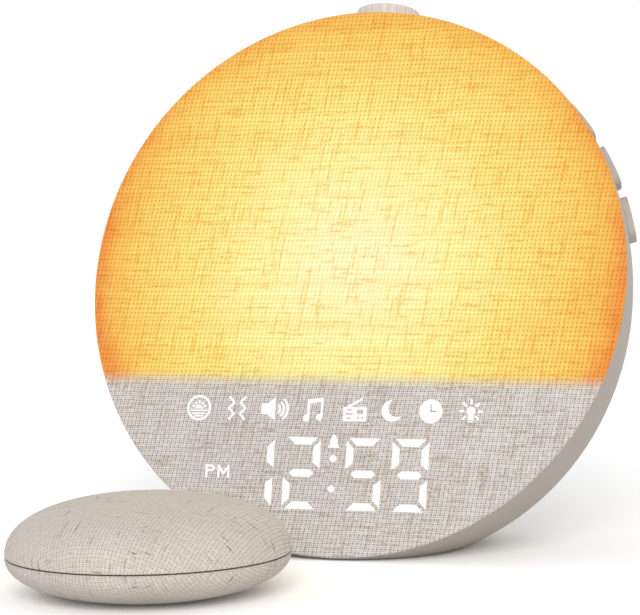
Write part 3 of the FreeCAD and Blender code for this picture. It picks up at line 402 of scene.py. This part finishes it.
def glow_colour(graph, cloth, cloud, x, up):
    """Light through the cloth, pale yellow in the middle and orange at the rim."""
    reach = graph.length(x, graph.math("SUBTRACT", up, GLOW_HEIGHT))
    reach = graph.scaled(cloud, GLOW_WAVER, graph.math("SUBTRACT", reach, GLOW_WAVER / 2))
    share = graph.math("DIVIDE", reach, CLOTH_RADIUS)
    glow = graph.ramp(share, (
        (0.10, linear(255, 255, 200)),
        (0.38, linear(255, 252, 172)),
        (0.62, linear(254, 238, 138)),
        (0.86, linear(251, 216, 110)),
        (0.94, linear(249, 196, 92)),
        (1.00, linear(243, 158, 66))))
    contrast = graph.spread(share, low=0.15, high=0.75, to_low=0.5)
    shadow = graph.mix(1.0, glow, GLOW_SHADOW, "MULTIPLY")
    glow = graph.mix(graph.scaled(cloth["wide"], contrast), glow, shadow)
    amber = graph.mix(1.0, glow, GLOW_AMBER, "MULTIPLY")
    thick = graph.math("MAXIMUM", cloth["slub"], graph.spread(cloth["fleck"], low=0.6, high=0.78))
    glow = graph.mix(thick, glow, amber)
    return graph.mix(graph.scaled(cloth["line"], -GLOW_THREAD_TINT, GLOW_THREAD_TINT), glow, amber)


def face_linen():
    """Linen that glows above the display."""
    graph = surface("face_linen")
    cloth = weave(graph, FACE_PITCH, FACE_SLUBS, FACE_SKEW)
    plain = linen_colour(graph, cloth, pale=linear(244, 239, 234), dark=linear(214, 207, 201),
                         fleck=linear(178, 148, 112), hole=linear(96, 86, 78),
                         hole_share=0.9, slub_share=0.6)
    x, up, _ = graph.parts(cloth["place"])
    cloud = graph.noise(cloth["place"], scale=22.0, detail=5.0, roughness=0.6)
    glow = glow_colour(graph, cloth, cloud, x, up)
    lit = graph.spread(graph.scaled(cloud, GLOW_EDGE_WAVER, up),
                       GLOW_LIMIT - GLOW_SOFTNESS, GLOW_LIMIT + GLOW_SOFTNESS)
    under = graph.mix(GLOW_HIDES_CLOTH, glow, BLACK)
    return graph.finish(Base_Color=graph.mix(lit, plain, under), Roughness=0.85, Sheen_Weight=0.1,
                        Emission_Color=glow, Emission_Strength=graph.scaled(lit, GLOW_STRENGTH),
                        Normal=graph.bump(cloth["height"], depth=0.22 * MM, strength=0.7))


# Hard materials

def moulded(name, colour, roughness, grain=0.02 * MM, transmission=0.0, tint=0.045):
    """Moulded plastic or rubber: fine grain, slow changes of tone, and edges worn a little paler."""
    graph = surface(name)
    place = graph.place()
    tone = graph.noise(place, scale=35.0, detail=4.0)
    mottle = graph.noise(place, scale=500.0)
    body = graph.tones(graph.weighed(mottle, tone, MOTTLE_SHARE), colour, 1 - tint, 1 + tint)
    rounded = graph.add("ShaderNodeBevel", {"Radius": EDGE_WEAR_ROUND}, samples=4)
    flat = graph.add("ShaderNodeNewGeometry", {}, output="Normal")
    turned_away = graph.add("ShaderNodeVectorMath", {0: rounded, 1: flat}, output="Value",
                            operation="DOT_PRODUCT")
    worn = graph.scaled(graph.spread(turned_away, low=0.97, high=0.80), EDGE_WEAR_SHARE)
    body = graph.mix(worn, body, shaded(colour, EDGE_WEAR_PALER))
    gloss = graph.spread(mottle, low=0.3, high=0.7, to_low=roughness - GLOSS_STRAY,
                         to_high=roughness + GLOSS_STRAY)
    pits = graph.noise(place, scale=2600.0)
    return graph.finish(Base_Color=body, Roughness=gloss, Transmission_Weight=transmission,
                        Normal=graph.bump(pits, depth=grain, strength=0.35, normal=rounded))


def metal(name, colour, roughness):
    """Metal with fine scratches and slightly uneven gloss."""
    graph = surface(name)
    x, y, z = graph.parts(graph.place())
    scratch = graph.noise(graph.point(graph.scaled(x, SCRATCHES_ACROSS),
                                      graph.scaled(y, SCRATCHES_ACROSS),
                                      graph.scaled(z, SCRATCHES_ALONG)), scale=1.0)
    gloss = graph.spread(scratch, low=0.25, high=0.75, to_low=roughness - METAL_GLOSSIER,
                         to_high=roughness + METAL_DULLER)
    return graph.finish(Base_Color=graph.tones(scratch, colour, darker=0.88, paler=1.05),
                        Metallic=1.0, Roughness=gloss,
                        Normal=graph.bump(scratch, depth=0.01 * MM, strength=0.3))


def lamp(name, colour):
    """Something that lights up: its own light and the room's add up to its colour."""
    graph = surface(name)
    cloud = graph.noise(graph.place(), scale=400.0)
    light = graph.tones(cloud, colour, darker=0.96, paler=1.0)
    return graph.finish(Base_Color=graph.mix(LAMP_STRENGTH, light, BLACK), Roughness=0.5,
                        Emission_Color=light, Emission_Strength=LAMP_STRENGTH)


def board(name, colour):
    """Circuit board with lacquered tracks."""
    graph = surface(name)
    x, _, z = graph.parts(graph.place())
    tracks = graph.noise(graph.point(graph.scaled(x, TRACKS_ACROSS), 0.0,
                                     graph.scaled(z, TRACKS_ALONG)), scale=1.0, detail=1.0)
    line = graph.spread(tracks, low=0.48, high=0.52)
    return graph.finish(Base_Color=graph.tones(line, colour, darker=1.0, paler=1.5), Roughness=0.35,
                        Normal=graph.bump(line, depth=0.03 * MM, strength=0.4))


def paper(name, colour):
    """Pressed paper or film with short fibres."""
    graph = surface(name)
    fibre = graph.noise(graph.place(), scale=1500.0, detail=5.0, roughness=0.7)
    return graph.finish(Base_Color=graph.tones(fibre, colour, darker=0.85, paler=1.1), Roughness=0.8,
                        Normal=graph.bump(fibre, depth=0.05 * MM, strength=0.5))


finishes = {
    "housing_plastic": moulded("housing", linear(190, 180, 169), roughness=0.46),
    "control_plastic": moulded("controls", linear(188, 178, 168), roughness=0.42),
    # The knob's finish is the control plastic made paler: painted light on the knob, not a colour of its
    # own.
    "knob_painted_lit": moulded("knob_painted_lit", linear(226, 214, 207), roughness=0.42, grain=0.01 * MM, tint=0.03),
    "white_plastic": moulded("white_parts", linear(236, 235, 231), roughness=0.4),
    "clear_plastic": moulded("clear_parts", linear(232, 236, 238), roughness=0.2, transmission=0.6),
    "black_plastic": moulded("black_parts", linear(44, 44, 46), roughness=0.45),
    "foot_rubber": moulded("rubber", linear(96, 92, 88), roughness=0.75, grain=0.06 * MM),
    "seam_dark": moulded("seam", linear(92, 80, 70), roughness=0.8),
    "copper_lead": moulded("lead_cover", linear(176, 62, 50), roughness=0.5),
    "battery_film": paper("battery_wrap", linear(70, 96, 150)),
    "cone_paper": paper("speaker_paper", linear(58, 56, 54)),
    "flex_amber": paper("flex_film", linear(196, 132, 52)),
    "board_green": board("circuit_board", linear(34, 92, 62)),
    "steel": metal("steel_parts", linear(190, 190, 192), roughness=0.35),
    "brass_weight": metal("brass_parts", linear(200, 164, 92), roughness=0.35),
    "lit_white": lamp("lit_marks", linear(255, 255, 255)),
    "led_yellow": lamp("warm_diode", linear(250, 226, 150)),
    "led_orange": lamp("amber_diode", linear(246, 170, 90)),
    "face_linen": face_linen(),
    "pad_linen": pad_linen(),
}


def dress_frame():
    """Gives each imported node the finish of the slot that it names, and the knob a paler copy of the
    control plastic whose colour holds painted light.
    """
    for node in nodes.values():
        for place in node.material_slots:
            place.material = finishes[place.material.name.split(".")[0]]
    # The knob gets the paler copy of the control plastic, with painted light in its colour.
    nodes["volume_knob"].material_slots[0].material = finishes["knob_painted_lit"]


# Meshes

def add_object(name, data):
    thing = bpy.data.objects.new(name, data)
    bpy.context.scene.collection.objects.link(thing)
    return thing


def make_mesh(name, corners, faces):
    mesh = bpy.data.meshes.new(name)
    mesh.from_pydata(corners, [], faces)
    return mesh


def settle(piece):
    """Applies the piece's modifiers to its mesh."""
    seen = piece.evaluated_get(bpy.context.evaluated_depsgraph_get())
    mesh = bpy.data.meshes.new_from_object(seen)
    piece.modifiers.clear()
    piece.data = mesh


# Cloth pieces, spun from side views that run from the middle to the edge

def runs_along(side_view):
    """Length along the side view up to each of its points."""
    runs = [0.0]
    for (radius_a, depth_a), (radius_b, depth_b) in zip(side_view, side_view[1:]):
        runs.append(runs[-1] + math.hypot(radius_b - radius_a, depth_b - depth_a))
    return runs


def keep_threads(mesh, threads):
    """Keeps the place that each point has on the flat cloth, which the weave follows."""
    kept = mesh.attributes.get("thread_place")
    if kept is not None:
        mesh.attributes.remove(kept)
    kept = mesh.attributes.new("thread_place", "FLOAT_VECTOR", "POINT")
    kept.data.foreach_set("vector", [number for thread in threads for number in thread])


def spun_sheet(name, side_view, place, segments, flip=False):
    """Round sheet spun from its side view, with its point on the axis first."""
    runs = runs_along(side_view)
    corners = [place(0.0, 0.0, side_view[0][1])]
    threads = [(0.0, 0.0, 0.0)]
    faces = []
    for ring, (radius, depth) in enumerate(side_view[1:]):
        run = runs[ring + 1]
        first = 1 + ring * segments
        for index in range(segments):
            angle = 2 * math.pi * index / segments
            corners.append(place(radius, angle, depth))
            threads.append((run * math.cos(angle), run * math.sin(angle), 0.0))
            here = first + index
            beside = first + (index + 1) % segments
            face = (here - segments, here, beside, beside - segments)
            if ring == 0:
                face = (0, here, beside)
            faces.append(face[::-1] if flip else face)
    mesh = make_mesh(name, corners, faces)
    keep_threads(mesh, threads)
    mesh.shade_smooth()
    return add_object(name, mesh)


def thicken(piece, thickness):
    """Gives the sheet its thickness behind the outer surface."""
    wall = piece.modifiers.new("thickness", "SOLIDIFY")
    wall.thickness = thickness
    wall.offset = -1.0
    settle(piece)


def place_cover(piece, node, finish, body):
    piece.data.materials.append(finishes[finish])
    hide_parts(node)
    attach(piece, body)


def face_side_view():
    """Crown, edge rolled over the housing's lip, and side of the face cloth, as radius and depth."""
    shoulder = EDGE_RADIUS - SHOULDER_ROUND
    crown = CROWN_HEIGHT - SHOULDER_HEIGHT
    points = []
    for ring in range(FACE_RINGS + 1):
        radius = shoulder * ring / FACE_RINGS
        points.append((radius, -CROWN_HEIGHT + crown * (radius / shoulder) ** 2))
    for step in range(1, EDGE_STEPS + 1):
        angle = math.pi / 2 * step / EDGE_STEPS
        points.append((shoulder + SHOULDER_ROUND * math.sin(angle),
                       SHOULDER_ROUND - SHOULDER_HEIGHT - SHOULDER_ROUND * math.cos(angle)))
    points.append((EDGE_RADIUS, -EDGE_GAP))
    points.append((CLOTH_RADIUS, -EDGE_GAP))
    points.append((CLOTH_RADIUS, SEAT_DEPTH))
    return points


def on_face(radius, angle, depth):
    return (FACE_CENTRE + ACROSS * (radius * math.cos(angle)) + INWARD * depth
            + UPWARD * (radius * math.sin(angle)))


def make_face():
    piece = spun_sheet("face_cloth", face_side_view(), on_face, FACE_SEGMENTS)
    thicken(piece, CLOTH_THICKNESS)
    place_cover(piece, "cloth_face", "face_linen", "clock")


def pad_side_view(rise, power, side):
    """Pebble curve from the middle to the seam, where the cloth rolls in, as radius and height."""
    points = []
    for ring in range(PAD_RINGS):
        angle = math.pi / 2 * (1 - ring / PAD_RINGS)
        radius = PAD_RADIUS * math.cos(angle) ** (2 / power)
        height = PAD_SEAM + side * rise * math.sin(angle) ** (2 / power)
        if abs(height - PAD_SEAM) > SEAM_HALF_GAP + SEAM_ROLL:
            points.append((radius, max(0.0, height)))
    for step in range(SEAM_STEPS + 1):
        angle = math.pi / 2 * step / SEAM_STEPS
        points.append((PAD_RADIUS - SEAM_ROLL * (1 - math.cos(angle)),
                       PAD_SEAM + side * (SEAM_HALF_GAP + SEAM_ROLL * (1 - math.sin(angle)))))
    points.append((PAD_RADIUS - 2 * SEAM_ROLL, PAD_SEAM + side * SEAM_HALF_GAP))
    points[0] = (0.0, points[0][1])
    return points


def on_pad(radius, angle, height):
    return PAD_CENTRE + Vector((radius * math.cos(angle), radius * math.sin(angle), height))


def swell(piece):
    """Lets the cloth fill out over its foam, held at the seam, and keeps each point near its start."""
    seam = piece.vertex_groups.new(name="seam")
    start = [corner.co.copy() for corner in piece.data.vertices]
    held = [corner.index for corner in piece.data.vertices
            if abs(corner.co.z - PAD_SEAM) < 2 * (SEAM_HALF_GAP + SEAM_ROLL)]
    seam.add(held, 1.0, "REPLACE")
    cloth = piece.modifiers.new("swell", "CLOTH")
    cloth.settings.quality = SWELL_QUALITY
    cloth.settings.mass = SWELL_MASS
    cloth.settings.tension_stiffness = SWELL_STIFFNESS
    cloth.settings.compression_stiffness = SWELL_STIFFNESS
    cloth.settings.bending_stiffness = SWELL_BENDING
    cloth.settings.use_pressure = True
    cloth.settings.uniform_pressure_force = SWELL_PRESSURE
    cloth.settings.effector_weights.gravity = 0.0
    cloth.settings.vertex_group_mass = "seam"
    cloth.point_cache.frame_start = 1
    cloth.point_cache.frame_end = SWELL_FRAMES
    for moment in range(1, SWELL_FRAMES + 1):
        bpy.context.scene.frame_set(moment)
    settle(piece)
    bpy.context.scene.frame_set(1)
    for corner, origin in zip(piece.data.vertices, start):
        moved = corner.co - origin
        if moved.length > SWELL_LIMIT:
            corner.co = origin + moved.normalized() * SWELL_LIMIT


def lay_threads(piece, side_view):
    """Gives each point of a cut pad cover its place on the cloth, from its distance to the middle."""
    runs = runs_along(side_view)
    threads = []
    for corner in piece.data.vertices:
        offset = corner.co - PAD_CENTRE
        radius = math.hypot(offset.x, offset.y)
        ring = 0
        while ring < len(side_view) - 2 and side_view[ring + 1][0] < radius:
            ring += 1
        near, far = side_view[ring][0], side_view[ring + 1][0]
        share = min(1.0, max(0.0, (radius - near) / (far - near))) if far > near else 1.0
        run = runs[ring] + share * (runs[ring + 1] - runs[ring])
        stretch = run / max(radius, TINY_RADIUS)
        threads.append((offset.x * stretch, offset.y * stretch, 0.0))
    keep_threads(piece.data, threads)


def slot_outline(middle, straight, half):
    """Across and height of points round a level slot with round ends."""
    corners = []
    for end in (-1, 1):
        for step in range(PORT_END_STEPS + 1):
            angle = math.pi * (step / PORT_END_STEPS - 0.5) + (math.pi if end < 0 else 0.0)
            corners.append((middle.x + end * straight + half * math.cos(angle),
                            middle.z + half * math.sin(angle)))
    return corners


def cut_port(piece):
    """Opens the lower cloth round the charge port."""
    low, high = (Vector(corner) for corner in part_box("pad_charge_port"))
    half = (high.z - low.z) / 2 + PORT_ROOM
    straight = (high.x - low.x) / 2 + PORT_ROOM - half
    corners = slot_outline((low + high) / 2, straight, half)
    count = len(corners)
    front = [Vector((x, low.y, z)) for x, z in corners]
    back = [Vector((x, high.y + PORT_CUT_REACH, z)) for x, z in corners]
    faces = [tuple(range(count)), tuple(range(2 * count - 1, count - 1, -1))]
    for index in range(count):
        after = (index + 1) % count
        faces.append((index, index + count, after + count, after))
    cutter = add_object("port_room", make_mesh("port_room", front + back, faces))
    opening = piece.modifiers.new("port", "BOOLEAN")
    opening.object = cutter
    opening.operation = "DIFFERENCE"
    settle(piece)
    bpy.data.objects.remove(cutter)


def make_pad_top():
    side_view = pad_side_view(PAD_TOP_RISE, PAD_TOP_POWER, side=1)
    piece = spun_sheet("pad_upper_cover", side_view, on_pad, PAD_SEGMENTS)
    swell(piece)
    thicken(piece, PAD_CLOTH_THICKNESS)
    place_cover(piece, "pad_top_cloth", "pad_linen", "pad")


def make_pad_bottom():
    side_view = pad_side_view(PAD_BOTTOM_FALL, PAD_BOTTOM_POWER, side=-1)
    piece = spun_sheet("pad_lower_cover", side_view, on_pad, PAD_SEGMENTS, flip=True)
    thicken(piece, PAD_CLOTH_THICKNESS)
    cut_port(piece)
    lay_threads(piece, side_view)
    place_cover(piece, "pad_bottom_cloth", "pad_linen", "pad")


# Camera, lights and floor

def turned(a, b, angle):
    """Two directions turned in their plane, from the first towards the second."""
    return a * math.cos(angle) + b * math.sin(angle), b * math.cos(angle) - a * math.sin(angle)


def make_camera():
    look = bpy.data.cameras.new("camera")
    look.sensor_width = SENSOR_WIDTH
    look.lens = FOCAL_PIXELS / IMAGE_WIDTH * SENSOR_WIDTH
    camera = add_object("camera", look)
    place = FACE_CENTRE + CAMERA_DISTANCE * Vector((
        math.sin(CAMERA_AZIMUTH) * math.cos(CAMERA_ELEVATION),
        -math.cos(CAMERA_AZIMUTH) * math.cos(CAMERA_ELEVATION),
        math.sin(CAMERA_ELEVATION)))
    forward = (FACE_CENTRE - place).normalized()
    right = forward.cross(Vector((0.0, 0.0, 1.0))).normalized()
    up = right.cross(forward)
    pan = math.atan((AIM_X - IMAGE_WIDTH / 2) / FOCAL_PIXELS)
    tilt = math.atan((IMAGE_HEIGHT / 2 - AIM_Y) / FOCAL_PIXELS)
    forward, right = turned(forward, right, -pan)
    forward, up = turned(forward, up, -tilt)
    right, up = turned(right, up, CAMERA_ROLL)
    facing = Matrix((right, up, -forward)).transposed()
    camera.matrix_world = Matrix.Translation(place) @ facing.to_4x4()
    bpy.context.scene.camera = camera


def make_lights():
    key = bpy.data.lights.new("key", "SUN")
    key.energy = KEY_STRENGTH
    key.angle = KEY_SPREAD
    add_object("key", key).rotation_euler = KEY_FROM.to_track_quat("Z", "Y").to_euler()
    graph = Graph(bpy.data.worlds.new("studio"), "Background")
    shown = graph.on_rays("Is Camera Ray", "Is Glossy Ray", "Is Transmission Ray")
    level = graph.scaled(shown, WORLD_SEEN - WORLD_STRENGTH, WORLD_STRENGTH)
    bpy.context.scene.world = graph.finish(Color=WHITE, Strength=level)


def make_floor():
    half = FLOOR_SIZE / 2
    mesh = make_mesh("floor", [(-half, -half, 0), (half, -half, 0), (half, half, 0), (-half, half, 0)],
                     [(0, 1, 2, 3)])
    graph = surface("floor")
    seen = graph.on_rays("Is Camera Ray")
    tone = graph.scaled(seen, FLOOR_SEEN - FLOOR_TONE, FLOOR_TONE)
    mesh.materials.append(graph.finish(
        Base_Color=tone, Roughness=0.9, Specular_IOR_Level=0.0,
        Emission_Color=WHITE, Emission_Strength=graph.scaled(seen, FLOOR_LIFT)))
    add_object("floor", mesh)


make_camera()
make_lights()
make_floor()
dress_frame()
make_face()
make_pad_top()
make_pad_bottom()
bpy.context.scene.view_settings.view_transform = "Standard"
